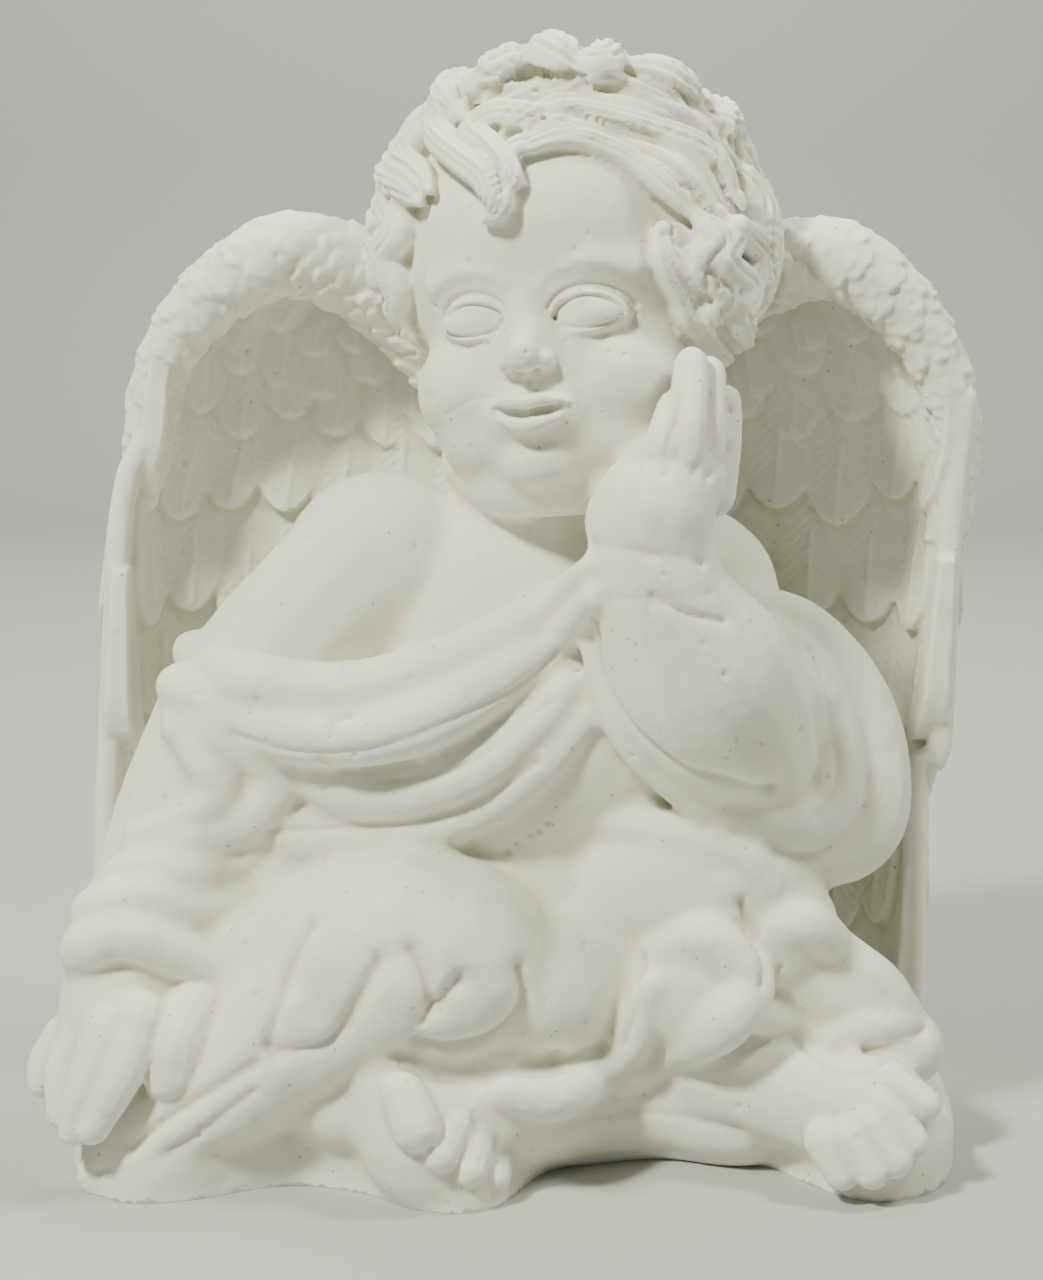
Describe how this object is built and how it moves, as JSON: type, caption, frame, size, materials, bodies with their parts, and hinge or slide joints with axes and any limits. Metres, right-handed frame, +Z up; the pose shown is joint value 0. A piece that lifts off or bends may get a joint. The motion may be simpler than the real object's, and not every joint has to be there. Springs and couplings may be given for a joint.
{
  "type": "plaster angel figurine",
  "caption": "Cast plaster cherub in draped cloth, sitting on its own low plinth with one hand at its cheek and two folded wings behind.",
  "frame": {"origin": "on the flat underside, under the middle of the figure", "axes": "+Z up, +X towards the hand that holds the cheek, -Y the way the figure faces"},
  "size_m": [0.2137, 0.127, 0.2499],
  "materials": {
    "plaster": "matt cast plaster, unpainted"
  },
  "bodies": {
    "root": {"angel_figurine": "plaster"}
  },
  "joints": []
}
